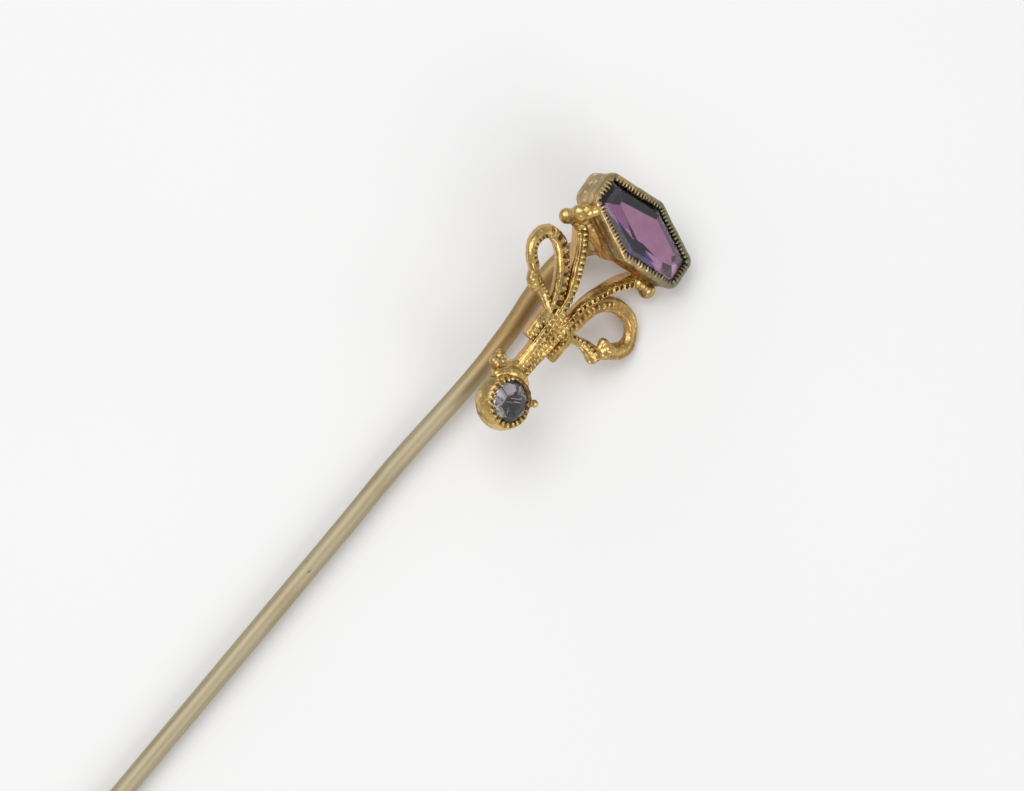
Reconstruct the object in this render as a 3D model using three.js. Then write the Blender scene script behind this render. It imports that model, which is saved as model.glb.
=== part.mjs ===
// Antique gilt hat pin: a stamped scrollwork finial with a large six-sided violet paste at the
// top and a small round colourless paste at the foot, soldered to a long brass wire.
//
// Finial frame, in millimetres: X across the finial (right), Y towards its back, Z up towards
// the large stone. At the end the whole pin is turned into the pose in which it lies on a table.
import * as THREE from 'three';

// ---- Driving dimensions (mm) ----
const WIRE_RADIUS = 0.55;
const WIRE_SIDES = 12;
const WIRE_STRAIGHT = 84;          // from the lowest bend down to the point
const POINT_TAPER = 16;            // length of the ground point
const POINT_RADIUS = 0.08;

const SCROLL_THICK = 0.66;         // front-to-back thickness of the scrollwork
const BEADING_HALF = 0.12;         // half the width of a row of beading
const BEADING_HIGH = 0.16;         // how far beading stands off the scrollwork
const GAP = 0.03;                  // solder line between neighbouring pieces

const FACE_TILT = THREE.MathUtils.degToRad(24);   // both stones look up by this much

const HEX_CENTRE = new THREE.Vector3(0.12, 3.13, 12.0);
const HEX_SPIN = THREE.MathUtils.degToRad(-2);    // its right end droops a little
const HEX_HALF_WIDE = 3.5;         // inside the bezel, across the finial
const HEX_HALF_HIGH = 1.65;        // inside the bezel, middle to apex
const HEX_HALF_END = 0.72;         // half of a short upright end
const HEX_CORNER = 0.2;            // corner radius of the opening
const STONE_TABLE = 0.8;           // table of the large stone, as a share of its girdle

const CUP_CENTRE = new THREE.Vector3(0, -0.14, 0.15);
const CUP_RIM_RADIUS = 1.46;
const CUP_BODY_RADIUS = 1.58;
const CUP_BACK_RADIUS = 1.2;
const CUP_DEEP = 1.6;
const CUP_BORE = 1.26;
const CUP_SIDES = 28;

const RIGHT_SPRIG_LEAN = 34;       // degrees

const SPRIG_BEAD_OUT = 2.47;       // from the cup's axis
const SPRIG_BEAD_RADIUS = 0.24;
const SPRIG_DEPTHS = [-0.68, -1.05];    // front and back, behind the cup's rim

const SHOULDER_BEAD_RADIUS = 0.46;
const SHOULDER_GRAIN_RADIUS = 0.26;

// ---- Materials ----
const metal = (color, roughness) => new THREE.MeshStandardMaterial({ color, roughness, metalness: 1 });
const glass = (color, roughness) => new THREE.MeshStandardMaterial({ color, roughness, metalness: 0 });
const gilt = () => metal(0xc9a445, 0.34);
const oldBrass = () => metal(0x8a7448, 0.5);
const wireBrass = () => metal(0xa89a78, 0.38);
const foil = () => metal(0xc8c8cc, 0.25);
const violet = () => glass(0x8a4f80, 0.08);
const colourless = () => glass(0xb5aebc, 0.06);

// ---- Solids ----
// A solid skinned over a stack of rings with equal numbers of points. Its ends are closed by
// flat caps, or, when it is ring-shaped, the last ring is skinned back to the first.
function loft(rings, ringShaped = false) {
  const count = rings[0].length;
  const bands = ringShaped ? rings.length : rings.length - 1;
  const index = [];
  for (let r = 0; r < bands; r += 1) {
    for (let i = 0; i < count; i += 1) {
      const j = (i + 1) % count;
      const low = r * count;
      const high = ((r + 1) % rings.length) * count;
      index.push(low + i, low + j, high + j, low + i, high + j, high + i);
    }
  }
  if (!ringShaped) {
    const last = (rings.length - 1) * count;
    for (let i = 1; i + 1 < count; i += 1) {
      index.push(0, i + 1, i, last, last + i, last + i + 1);
    }
  }
  const points = rings.flat();
  if (signedVolume(points, index) < 0) index.reverse();
  const geometry = new THREE.BufferGeometry().setFromPoints(points);
  geometry.setIndex(index);
  geometry.computeVertexNormals();
  return geometry;
}

function signedVolume(points, index) {
  let sum = 0;
  for (let k = 0; k < index.length; k += 3) {
    const [a, b, c] = [points[index[k]], points[index[k + 1]], points[index[k + 2]]];
    sum += a.dot(b.clone().cross(c));
  }
  return sum / 6;
}

const finial = new THREE.Group();

function add(name, geometry, material, parent = finial) {
  const mesh = new THREE.Mesh(geometry, material);
  mesh.name = name;
  parent.add(mesh);
  return mesh;
}

// ---- The sheet that the scrollwork follows ----
// It leans back towards the large stone; the outer turns of the loops come forward a little.
const SHEET_FOOT = { y: 1.62, z: 1.65 };
const SHEET_BEND_Z = 4.4;
const SHEET_LOOP_FORWARD = 0.45;

function sheetY(x, z) {
  const lean = SHEET_FOOT.y + 0.19 * (z - SHEET_FOOT.z) + 0.13 * Math.max(0, z - SHEET_BEND_Z);
  const outward = THREE.MathUtils.clamp((Math.abs(x) - 2) / 1.5, 0, 1);
  const low = THREE.MathUtils.clamp((8 - z) / 2, 0, 1);
  return lean - SHEET_LOOP_FORWARD * outward * low;
}

// A flat outline in X and Z becomes a solid between two depths measured from the sheet; its back
// may lie further behind the sheet at some heights than at others.
function fromOutline(outline, front, backAt) {
  const geometry = new THREE.ExtrudeGeometry(new THREE.Shape(outline), {
    depth: 1, bevelEnabled: false, steps: 1,
  });
  geometry.rotateX(Math.PI / 2);        // outline into XZ; the depth now runs towards -Y
  const position = geometry.attributes.position;
  for (let i = 0; i < position.count; i += 1) {
    const x = position.getX(i);
    const z = position.getZ(i);
    const share = -position.getY(i);    // 0 at the back, 1 at the front
    position.setY(i, sheetY(x, z) + THREE.MathUtils.lerp(backAt(z), front, share));
  }
  geometry.computeVertexNormals();
  return geometry;
}

const vec2 = ([x, z]) => new THREE.Vector2(x, z);

// Outline of a band along a smooth centreline; halfAt gives its half width from start (0) to end (1).
function bandOutline(points, halfAt, steps) {
  const line = new THREE.SplineCurve(points.map(vec2));
  const left = [];
  const right = [];
  for (let i = 0; i <= steps; i += 1) {
    const t = i / steps;
    const p = line.getPointAt(t);
    const d = line.getTangentAt(t);
    const h = halfAt(t);
    left.push(new THREE.Vector2(p.x - d.y * h, p.y + d.x * h));
    right.push(new THREE.Vector2(p.x + d.y * h, p.y - d.x * h));
  }
  const outline = left.concat(right.reverse());
  return THREE.ShapeUtils.isClockWise(outline) ? outline.reverse() : outline;
}

// The same centreline moved sideways by a fixed amount.
function shifted(points, amount, steps = 12) {
  const line = new THREE.SplineCurve(points.map(vec2));
  return Array.from({ length: steps + 1 }, (_, i) => {
    const p = line.getPointAt(i / steps);
    const d = line.getTangentAt(i / steps);
    return [p.x - d.y * amount, p.y + d.x * amount];
  });
}

// Straight-line values between (place, value) pairs.
const tween = (pairs) => (t) => {
  const k = Math.max(1, pairs.findIndex(([at]) => at >= t));
  const [[a, from], [b, to]] = [pairs[k - 1], pairs[k]];
  return THREE.MathUtils.mapLinear(t, a, b, from, to);
};

const FRONT = -SCROLL_THICK / 2;
const BACK = SCROLL_THICK / 2;

const evenBack = () => BACK;

function scrollBand(points, halfAt, steps, backAt = evenBack) {
  return fromOutline(bandOutline(points, halfAt, steps), FRONT, backAt);
}

// A row of beading: a narrow strip soldered on the front of the scrollwork.
function beading(points, sideways, steps = 14) {
  const strip = bandOutline(shifted(points, sideways), () => BEADING_HALF, steps);
  return fromOutline(strip, FRONT - BEADING_HIGH, () => FRONT - GAP);
}

// ---- Scrollwork ----
// The two sides were bent by hand and differ: each has its own lines, in X and Z.
const SIDES = {
  left: {
    arm: [[-0.37, 5.62], [-0.5, 6.49], [-0.7, 7.01], [-0.92, 7.52], [-1.17, 7.97], [-1.45, 8.49],
      [-1.76, 8.98], [-2.2, 9.5]],
    armHalf: tween([[0, 0.22], [0.6, 0.31], [1, 0.34]]),
    armDeeper: 0.55,
    loop: [[-0.94, 5.6], [-1.1, 6.05], [-1.34, 6.5], [-1.64, 7.0], [-2.06, 7.5], [-2.62, 7.98],
      [-3.2, 8.27], [-3.85, 8.3], [-4.25, 8.05], [-4.48, 7.62], [-4.52, 7.15], [-4.33, 6.75],
      [-4.02, 6.46], [-3.72, 6.3]],
    loopHalf: tween([[0, 0.27], [0.25, 0.36], [0.48, 0.4], [0.66, 0.23], [1, 0.28]]),
    armBeading: -0.16,
    loopBeading: -0.12,
    upperLeaf: [[-1.42, 5.38], [-1.9, 5.55], [-2.5, 5.68], [-3.05, 5.68], [-3.45, 5.6]],
    lowerLeaf: [[-1.13, 4.95], [-1.11, 4.4], [-1.07, 3.9], [-0.98, 3.32]],
  },
  right: {
    arm: [[0.36, 5.62], [0.5, 6.49], [0.68, 7.05], [1.02, 7.76], [1.38, 8.43], [1.78, 9.05],
      [2.26, 9.6]],
    armHalf: tween([[0, 0.21], [1, 0.26]]),
    armDeeper: 0.3,
    loop: [[0.97, 5.6], [1.02, 6.05], [1.12, 6.5], [1.28, 7.0], [1.48, 7.36], [1.8, 7.7], [2.22, 7.95],
      [2.6, 8.08], [3.0, 8.13], [3.4, 8.1], [3.75, 7.96], [4.06, 7.68], [4.28, 7.3], [4.3, 6.92],
      [4.08, 6.5], [3.72, 6.17], [3.3, 5.95], [3.04, 5.9]],
    loopHalf: tween([[0, 0.28], [0.35, 0.36], [0.6, 0.33], [1, 0.31]]),
    armBeading: -0.05,
    loopBeading: 0.1,
    upperLeaf: [[1.38, 5.03], [1.88, 5.1], [2.37, 5.18], [2.82, 5.18], [3.2, 5.08]],
    lowerLeaf: [[1.1, 4.95], [1.08, 4.5], [1.03, 4.0], [0.98, 3.32]],
  },
};
const leafHalf = tween([[0, 0.15], [1, 0.24]]);
const lowerLeafHalf = tween([[0, 0.2], [1, 0.28]]);
const LEAF_DEEPER = 0.14;
const ARM_SWELL = { from: 6.3, to: 9.3 };      // heights between which an arm grows deeper

function addScrollSide(word, side) {
  const swell = (z) => THREE.MathUtils.smoothstep(z, ARM_SWELL.from, ARM_SWELL.to);
  const armBack = (z) => BACK + side.armDeeper * swell(z);
  const leafBack = () => BACK + LEAF_DEEPER;
  add(`${word}_inner_arm`, scrollBand(side.arm, side.armHalf, 10, armBack), gilt());
  add(`${word}_inner_beading`, beading(side.arm, side.armBeading, 10), gilt());
  add(`${word}_loop`, scrollBand(side.loop, side.loopHalf, 36), gilt());
  add(`${word}_loop_beading`, beading(side.loop.slice(0, 7), side.loopBeading, 10), gilt());
  add(`${word}_upper_leaf`, scrollBand(side.upperLeaf, leafHalf, 8), gilt());
  add(`${word}_lower_leaf`, scrollBand(side.lowerLeaf, lowerLeafHalf, 6, leafBack), gilt());
}

function addTrunk() {
  const foot = 1.42;
  const top = 5.52;
  const halfAt = (z) => 0.58 + 0.24 * THREE.MathUtils.clamp((z - 2.6) / 2.9, 0, 1);
  const heights = [foot, 2.4, 3.2, 4.4, top];
  const outline = heights.map((z) => new THREE.Vector2(halfAt(z), z));
  outline.push(...heights.map((z) => new THREE.Vector2(-halfAt(z), z)).reverse());
  add('trunk', fromOutline(outline, FRONT, evenBack), gilt());
  const rows = 4;
  for (let i = 0; i < rows; i += 1) {
    const across = (2 * (i + 0.5)) / rows - 1;      // -1 .. 1 over the trunk's width
    const line = [1.95, 3.2, 4.4, 5.4].map((z) => [across * halfAt(z), z]);
    add(`trunk_wire_${i + 1}`, beading(line, 0, 5), gilt());
  }
}

// ---- The large stone in its setting; local Z looks out of the stone's table ----
function hexRing(grow, z) {
  const slope = Math.atan2(HEX_HALF_HIGH - HEX_HALF_END, HEX_HALF_WIDE);
  const wide = HEX_HALF_WIDE - HEX_CORNER;
  const high = HEX_HALF_HIGH - HEX_CORNER / Math.cos(slope);
  const end = high - wide * Math.tan(slope);
  const cores = [[wide, -end], [wide, end], [0, high], [-wide, end], [-wide, -end], [0, -high]];
  const quarter = Math.PI / 2;
  const turns = [[-quarter + slope, 0], [0, quarter - slope], [quarter - slope, quarter + slope],
    [quarter + slope, 2 * quarter], [2 * quarter, 3 * quarter - slope],
    [3 * quarter - slope, 3 * quarter + slope]];
  const radius = HEX_CORNER + grow;
  return cores.flatMap(([x, y], k) => [0, 0.5, 1].map((t) => {
    const angle = THREE.MathUtils.lerp(turns[k][0], turns[k][1], t);
    return new THREE.Vector3(x + radius * Math.cos(angle), y + radius * Math.sin(angle), z);
  }));
}

function stoneRing(scale, z) {
  const corners = [[1, -1], [1, 1], [0, 1], [-1, 1], [-1, -1], [0, -1]];
  return corners.map(([sx, sy]) => new THREE.Vector3(
    sx * (HEX_HALF_WIDE - GAP * 2) * scale,
    sy * ((sx ? HEX_HALF_END : HEX_HALF_HIGH) - GAP * 2) * scale,
    z,
  ));
}

function addLargeSetting(parent) {
  add('amethyst_stone', loft([
    stoneRing(STONE_TABLE, 0.08), stoneRing(1, -0.26), stoneRing(1, -0.34), stoneRing(0.1, -1.35),
  ]), violet(), parent);
  add('amethyst_foil', loft([
    stoneRing(0.1, -1.4), stoneRing(0.97, -0.42), stoneRing(1, -0.46), stoneRing(0.12, -1.47),
  ]), foil(), parent);
  // collar with its rim rolled over the stone's edge: outside, rim, inside
  add('amethyst_bezel', loft([
    hexRing(0.34, -0.66), hexRing(0.3, 0), hexRing(0, 0), hexRing(0, -0.66),
  ], true), oldBrass(), parent);
  add('amethyst_gallery_wire', loft([
    hexRing(0.36, -0.88), hexRing(0.42, -0.78), hexRing(0.36, -0.69),
    hexRing(0.02, -0.69), hexRing(0.02, -0.88),
  ], true), oldBrass(), parent);
  add('amethyst_base', loft([
    hexRing(-0.15, -1.6), hexRing(0, -0.91), hexRing(0.28, -0.91), hexRing(0.28, -1.1),
    hexRing(0.4, -1.26), hexRing(0.38, -1.6), hexRing(0.24, -1.78),
  ]), oldBrass(), parent);
}

// ---- The small stone in its cup; local Z looks out of the stone's table ----
function roundRing(radius, z, sides) {
  return Array.from({ length: sides }, (_, i) => {
    const angle = (i / sides) * 2 * Math.PI;
    return new THREE.Vector3(radius * Math.cos(angle), radius * Math.sin(angle), z);
  });
}

function addCup(parent) {
  const facets = 8;
  add('paste_stone', loft([
    roundRing(0.62, 0.34, facets), roundRing(CUP_BORE - GAP, -0.04, facets),
    roundRing(CUP_BORE - GAP, -0.1, facets), roundRing(0.08, -0.78, facets),
  ]), colourless(), parent);
  add('paste_foil', loft([
    roundRing(0.08, -0.84, facets), roundRing(CUP_BORE - GAP, -0.23, facets),
    roundRing(CUP_BORE - GAP, -0.29, facets), roundRing(0.1, -0.91, facets),
  ]), foil(), parent);
  add('paste_cup', loft([
    roundRing(CUP_BORE - 0.2, -0.98, CUP_SIDES), roundRing(CUP_BORE, -0.5, CUP_SIDES),
    roundRing(CUP_BORE, 0, CUP_SIDES), roundRing(CUP_RIM_RADIUS, 0, CUP_SIDES),
    roundRing(CUP_BODY_RADIUS, -0.35, CUP_SIDES), roundRing(CUP_BODY_RADIUS, -1.1, CUP_SIDES),
    roundRing(CUP_BACK_RADIUS + 0.2, -CUP_DEEP + 0.15, CUP_SIDES),
    roundRing(CUP_BACK_RADIUS, -CUP_DEEP, CUP_SIDES),
  ]), gilt(), parent);
}

// Flat piece in the cup's own plane, between two depths behind its rim.
function cupPlate(outline, front, back) {
  const shape = new THREE.Shape(outline.map(([x, y]) => new THREE.Vector2(x, y)));
  const geometry = new THREE.ExtrudeGeometry(shape, { depth: front - back, bevelEnabled: false });
  return geometry.translate(0, 0, back);
}

function addCupTrim(parent) {
  const inner = CUP_BODY_RADIUS + GAP;
  const steps = 8;
  const spread = THREE.MathUtils.degToRad(26);
  const arc = (radius) => Array.from({ length: steps + 1 }, (_, i) => {
    const angle = Math.PI / 2 - spread + (2 * spread * i) / steps;
    return [radius * Math.cos(angle), radius * Math.sin(angle)];
  });
  add('cup_shoulder', cupPlate([...arc(inner), ...arc(inner + 0.26).reverse()], -0.2, -0.6), gilt(), parent);

  // a sprig grows from a root beside the cup, at an angle to the cup's own X axis
  const sprig = (outline, side, [rootX, rootY], degrees) => {
    const lean = THREE.MathUtils.degToRad(degrees);
    const [c, n] = [Math.cos(lean), Math.sin(lean)];
    return outline.map(([out, aside]) => [
      side * (rootX + out * c - aside * n), rootY + out * n + aside * c]);
  };
  const fork = [[0.1, -0.24], [0.52, -0.22], [0.78, -0.34], [0.96, -0.16], [0.84, 0],
    [1.06, 0.14], [0.94, 0.36], [0.52, 0.24], [0, 0.24]];
  const point = [[inner, -0.22], [2.14, -0.16], [2.2, 0], [2.14, 0.16], [inner, 0.22]];
  const [front, back] = SPRIG_DEPTHS;
  add('left_sprig', cupPlate(sprig(fork, -1, [1.04, 1.3], 28), front, back), gilt(), parent);
  add('right_sprig', cupPlate(sprig(point, 1, [0, 0], RIGHT_SPRIG_LEAN), front, back), gilt(), parent);
  const [[x, y]] = sprig([[SPRIG_BEAD_OUT, 0]], 1, [0, 0], RIGHT_SPRIG_LEAN);
  const bead = new THREE.SphereGeometry(SPRIG_BEAD_RADIUS, 10, 7);
  add('right_sprig_bead', bead, gilt(), parent).position.set(x, y, (front + back) / 2);
}

// ---- Solder and beads at the shoulders ----
function addShoulders() {
  const ball = () => new THREE.SphereGeometry(SHOULDER_BEAD_RADIUS, 14, 10);
  add('left_shoulder_bead', ball(), gilt()).position.set(-3.6, 3.84, 9.54);
  add('right_shoulder_bead', ball(), gilt()).position.set(3.56, 3.84, 9.85);
  const grain = new THREE.SphereGeometry(SHOULDER_GRAIN_RADIUS, 10, 8);
  add('left_shoulder_grain', grain, gilt()).position.set(-3.55, 3.1, 10.2);
}

// ---- The wire: a gentle S behind the finial, hooked forward at its top ----
const WIRE_LINE = [
  [1.92, -15.7], [2.72, -11.5], [3.63, -7.2], [4.22, -2.2], [4.62, 0.2], [5.0, 1.65], [5.5, 3.3],
  [6.2, 4.95], [6.7, 6.4], [6.84, 7.5], [6.6, 8.5], [5.98, 9.24], [5.08, 9.66],
];

function addWire() {
  const place = ([y, z]) => new THREE.Vector3(0, y, z);
  const line = new THREE.CatmullRomCurve3(WIRE_LINE.map(place));
  const across = new THREE.Vector3(1, 0, 0);
  const ring = (centre, along, radius) => {
    const up = new THREE.Vector3().crossVectors(across, along);
    return Array.from({ length: WIRE_SIDES }, (_, i) => {
      const angle = (i / WIRE_SIDES) * 2 * Math.PI;
      return centre.clone().addScaledVector(across, radius * Math.cos(angle))
        .addScaledVector(up, radius * Math.sin(angle));
    });
  };
  const bend = line.getPoint(0);
  const down = line.getTangent(0).negate();
  const onStraight = (distance, radius) => ring(
    bend.clone().addScaledVector(down, distance), down.clone().negate(), radius);
  const rings = [
    onStraight(WIRE_STRAIGHT, POINT_RADIUS),
    onStraight(WIRE_STRAIGHT - 0.4, POINT_RADIUS * 2),
    onStraight(WIRE_STRAIGHT - POINT_TAPER / 2, WIRE_RADIUS * 0.8),
    onStraight(WIRE_STRAIGHT - POINT_TAPER, WIRE_RADIUS),
  ];
  const steps = 26;
  for (let i = 0; i <= steps; i += 1) {
    const t = i / steps;
    rings.push(ring(line.getPoint(t), line.getTangent(t), WIRE_RADIUS));
  }
  add('pin_stem', loft(rings), wireBrass());

  // the pad of solder between the end of the wire and the back of the large setting
  const pad = new THREE.SphereGeometry(0.5, 12, 8).scale(1.3, 0.3, 0.9).rotateX(FACE_TILT);
  add('stem_solder', pad, wireBrass()).position.set(0, 4.52, 9.93);
}

// ---- Assembly ----
function faceGroup(centre, spin = 0) {
  const group = new THREE.Group();
  group.position.copy(centre);
  group.rotation.set(Math.PI / 2 - FACE_TILT, 0, spin);
  finial.add(group);
  return group;
}

addLargeSetting(faceGroup(HEX_CENTRE, HEX_SPIN));
const cup = faceGroup(CUP_CENTRE);
addCup(cup);
addCupTrim(cup);
addTrunk();
addScrollSide('left', SIDES.left);
addScrollSide('right', SIDES.right);
addShoulders();
addWire();

// ---- The pose in which the pin lies on a table: +Z up, the point towards -X ----
// Straight up as the finial sees it, when the pin rests on its wire, its hook and the right end of
// the large setting.
const REST_UP = new THREE.Vector3(-0.6682, -0.73, 0.1438);

function layDown(group) {
  const up = REST_UP.clone().normalize();
  const tip = group.getObjectByName('pin_stem').geometry.attributes.position;
  const along = HEX_CENTRE.clone().sub(new THREE.Vector3().fromBufferAttribute(tip, 0));
  along.addScaledVector(up, -along.dot(up)).normalize();
  const side = new THREE.Vector3().crossVectors(up, along);
  group.quaternion.setFromRotationMatrix(new THREE.Matrix4().makeBasis(along, side, up).transpose());
  group.updateMatrixWorld(true);
  const box = new THREE.Box3().setFromObject(group, true);
  const middle = box.getCenter(new THREE.Vector3());
  group.position.set(-middle.x, -middle.y, -box.min.z);
}

layDown(finial);

export default finial;
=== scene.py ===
"""Looks of the antique gilt hat pin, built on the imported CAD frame.

Shapes are worked out in the finial's own frame, in millimetres: X across the finial, Y towards
its back, Z up towards the large stone. place() turns them into the row frame, in metres.
"""
import math

import bmesh
import bpy
import numpy as np
from mathutils import Matrix, Vector, noise


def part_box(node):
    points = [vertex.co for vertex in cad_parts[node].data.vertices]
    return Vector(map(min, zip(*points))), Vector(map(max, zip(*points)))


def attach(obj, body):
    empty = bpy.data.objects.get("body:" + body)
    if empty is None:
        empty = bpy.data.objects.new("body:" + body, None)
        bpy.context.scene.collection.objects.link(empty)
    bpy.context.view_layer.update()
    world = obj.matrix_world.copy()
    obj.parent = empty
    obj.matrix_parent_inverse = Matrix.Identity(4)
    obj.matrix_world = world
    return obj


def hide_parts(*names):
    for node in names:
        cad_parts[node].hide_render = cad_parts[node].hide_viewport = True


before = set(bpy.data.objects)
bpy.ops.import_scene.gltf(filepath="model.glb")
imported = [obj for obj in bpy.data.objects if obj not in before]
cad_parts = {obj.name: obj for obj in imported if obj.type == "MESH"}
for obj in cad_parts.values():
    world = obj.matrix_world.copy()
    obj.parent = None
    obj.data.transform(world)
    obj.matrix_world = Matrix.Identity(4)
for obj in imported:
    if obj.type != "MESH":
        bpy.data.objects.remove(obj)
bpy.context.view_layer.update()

MM = 0.001
noise.seed_set(11)      # unseeded, the waves in the surfaces would differ from run to run

# ---- Driving dimensions, in millimetres ----
WIRE_RADIUS = 0.55
WIRE_STRAIGHT = 84.0
POINT_TAPER = 16.0
SCROLL_THICK = 0.66
FACE_TILT = math.radians(24)
HEX_CENTRE = np.array((0.12, 3.13, 12.0))
HEX_SPIN = math.radians(-2)
HEX_HALF_WIDE = 3.5
HEX_HALF_HIGH = 1.65
HEX_HALF_END = 0.72
CUP_CENTRE = np.array((0, -0.14, 0.15))
CUP_DEEP = 1.6
LEFT_BEAD = np.array((-3.6, 3.84, 9.54))
RIGHT_BEAD = np.array((3.56, 3.84, 9.85))
SPRIG_LEAN = math.radians(34)
SPRIG_BEAD_OUT = 2.47
SPRIG_DEPTH = -0.86


# ---- Frames ----
def face_matrix(centre, spin=0.0):
    """From the frame of a setting, whose Z looks out of its stone, to the finial frame."""
    turn = Matrix.Rotation(math.pi / 2 - FACE_TILT, 4, "X") @ Matrix.Rotation(spin, 4, "Z")
    return np.array(Matrix.Translation(Vector(centre)) @ turn)


def apply(matrix, points):
    points = np.asarray(points, float)
    return points @ matrix[:3, :3].T + matrix[:3, 3]


def triad(a, b, c):
    x = (b - a) / np.linalg.norm(b - a)
    z = np.cross(x, c - a)
    z /= np.linalg.norm(z)
    matrix = np.eye(4)
    matrix[:3, :3] = np.array((x, np.cross(z, x), z)).T
    matrix[:3, 3] = a
    return matrix


HEX_FRAME = face_matrix(HEX_CENTRE, HEX_SPIN)
CUP_FRAME = face_matrix(CUP_CENTRE)
SPRIG_BEAD = apply(CUP_FRAME, (SPRIG_BEAD_OUT * math.cos(SPRIG_LEAN),
                               SPRIG_BEAD_OUT * math.sin(SPRIG_LEAN), SPRIG_DEPTH))


def finial_to_row():
    """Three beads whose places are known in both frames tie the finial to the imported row."""
    def middle(node):
        low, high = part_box(node)
        return np.array((low + high) / 2) / MM
    beads = ("left_shoulder_bead", "right_shoulder_bead", "right_sprig_bead")
    row = triad(*(middle(bead) for bead in beads))
    return row @ np.linalg.inv(triad(LEFT_BEAD, RIGHT_BEAD, SPRIG_BEAD))


TO_ROW = finial_to_row()


def place(points):
    return apply(TO_ROW, points) * MM


# ---- Mesh building ----
def make_piece(name, points, faces, replaced, slot_name, material, smooth=True, **layers):
    """A mesh piece. Each layer is a number at every point, such as the dirt and painted shade in
    its hollows.
    """
    mesh = bpy.data.meshes.new(name)
    mesh.from_pydata(place(points).tolist(), [], faces)
    for word, values in layers.items():
        layer = mesh.attributes.new(word, "FLOAT", "POINT")
        layer.data.foreach_set("value", np.asarray(values, np.float32).ravel())
    work = bmesh.new()
    work.from_mesh(mesh)
    bmesh.ops.recalc_face_normals(work, faces=work.faces)
    work.to_mesh(mesh)
    work.free()
    mesh.polygons.foreach_set("use_smooth", [smooth] * len(mesh.polygons))
    mesh.materials.append(material)
    piece = bpy.data.objects.new(name, mesh)
    bpy.context.scene.collection.objects.link(piece)
    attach(piece, "root")
    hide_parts(*replaced)
    return piece


def skin_faces(rows, columns, ring_shaped):
    """Quads over a grid whose columns run round; its ends are capped unless it is ring-shaped."""
    faces = []
    for r in range(rows if ring_shaped else rows - 1):
        low, high = r * columns, ((r + 1) % rows) * columns
        for c in range(columns):
            d = (c + 1) % columns
            faces.append((low + c, low + d, high + d, high + c))
    if not ring_shaped:
        first, last = rows * columns, rows * columns + 1
        for c in range(columns):
            d = (c + 1) % columns
            faces.append((first, d, c))
            faces.append((last, (rows - 1) * columns + c, (rows - 1) * columns + d))
    return faces


def skin(name, rings, replaced, slot_name, material, ring_shaped=False, **layers):
    """A smooth piece from rows of places that run round it."""
    rings = np.asarray(rings, float)
    rows, columns = rings.shape[:2]
    points = rings.reshape(-1, 3)
    flat = {word: np.broadcast_to(values, (rows, columns)).reshape(-1)
            for word, values in layers.items()}
    if not ring_shaped:
        points = np.vstack((points, rings[0].mean(0), rings[-1].mean(0)))
        flat = {word: np.append(v, (v[:columns].mean(), v[-columns:].mean()))
                for word, v in flat.items()}
    faces = skin_faces(rows, columns, ring_shaped)
    return make_piece(name, points, faces, replaced, slot_name, material, **flat)


def smoothstep(low, high, value):
    t = np.clip((value - low) / (high - low), 0, 1)
    return t * t * (3 - 2 * t)


def wobble(points, size, amount):
    """Moves points a little, in smooth random waves, as hand work and wear leave them."""
    moved = [p + amount * np.array(noise.noise_vector(Vector(p / size)))
             for p in points.reshape(-1, 3)]
    return np.array(moved).reshape(points.shape)


# ---- Lines ----
def spline(points, steps):
    """Catmull-Rom curve through the points, resampled evenly; returns places, tangents, length."""
    points = np.asarray(points, float)
    padded = np.vstack((points[0], points, points[-1]))
    fine = []
    for i in range(len(points) - 1):
        a, b, c, d = padded[i:i + 4]
        for t in np.linspace(0, 1, 24, endpoint=False):
            fine.append(0.5 * (2 * b + (c - a) * t + (2 * a - 5 * b + 4 * c - d) * t ** 2
                               + (3 * b - a - 3 * c + d) * t ** 3))
    fine = np.array(fine + [points[-1]])
    run = np.append(0, np.cumsum(np.linalg.norm(np.diff(fine, axis=0), axis=1)))
    at = np.linspace(0, run[-1], steps + 1)
    places = np.stack([np.interp(at, run, fine[:, k]) for k in range(points.shape[1])], axis=1)
    tangents = np.gradient(places, axis=0)
    tangents /= np.linalg.norm(tangents, axis=1)[:, None]
    return places, tangents, at


def sheet_y(x, z):
    lean = 1.62 + 0.19 * (z - 1.65) + 0.13 * np.maximum(0, z - 4.4)
    outward = np.clip((np.abs(x) - 2) / 1.5, 0, 1)
    low = np.clip((8 - z) / 2, 0, 1)
    return lean - 0.45 * outward * low


def tween(*pairs):
    """Straight-line values between (place, value) pairs."""
    places, values = zip(*pairs)
    return lambda t: np.interp(t, places, values)


# ---- Relief on the front of the scrollwork: each returns height, and the darkening of its hollows, dirt and painted shade ----
def hash01(index, seed):
    return np.modf(np.abs(np.sin(index * 12.9898 + seed * 78.233) * 43758.5453))[0]


def bead_row(run, across, centre, radius, pitch, seed=0, sink=0.06):
    """A row of small uneven balls set in a shallow groove."""
    index = np.round(run / pitch)
    jitter = 0.22 * pitch * (hash01(index, seed) - 0.5)
    aside = 0.3 * radius * (hash01(index, seed + 1) - 0.5)
    size = radius * (0.78 + 0.4 * hash01(index, seed + 3))
    away = ((run - index * pitch - jitter) ** 2 + (across - centre - aside) ** 2) / size ** 2
    ball = size * np.sqrt(np.clip(1 - away, 0, 1))
    groove = np.exp(-((across - centre) / (1.2 * radius)) ** 2)
    # Darker in the groove between the balls: dirt and painted shade.
    dirt_and_shade = groove * (1 - smoothstep(0.0, 0.7 * radius, ball))
    return ball - sink * groove, dirt_and_shade


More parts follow.
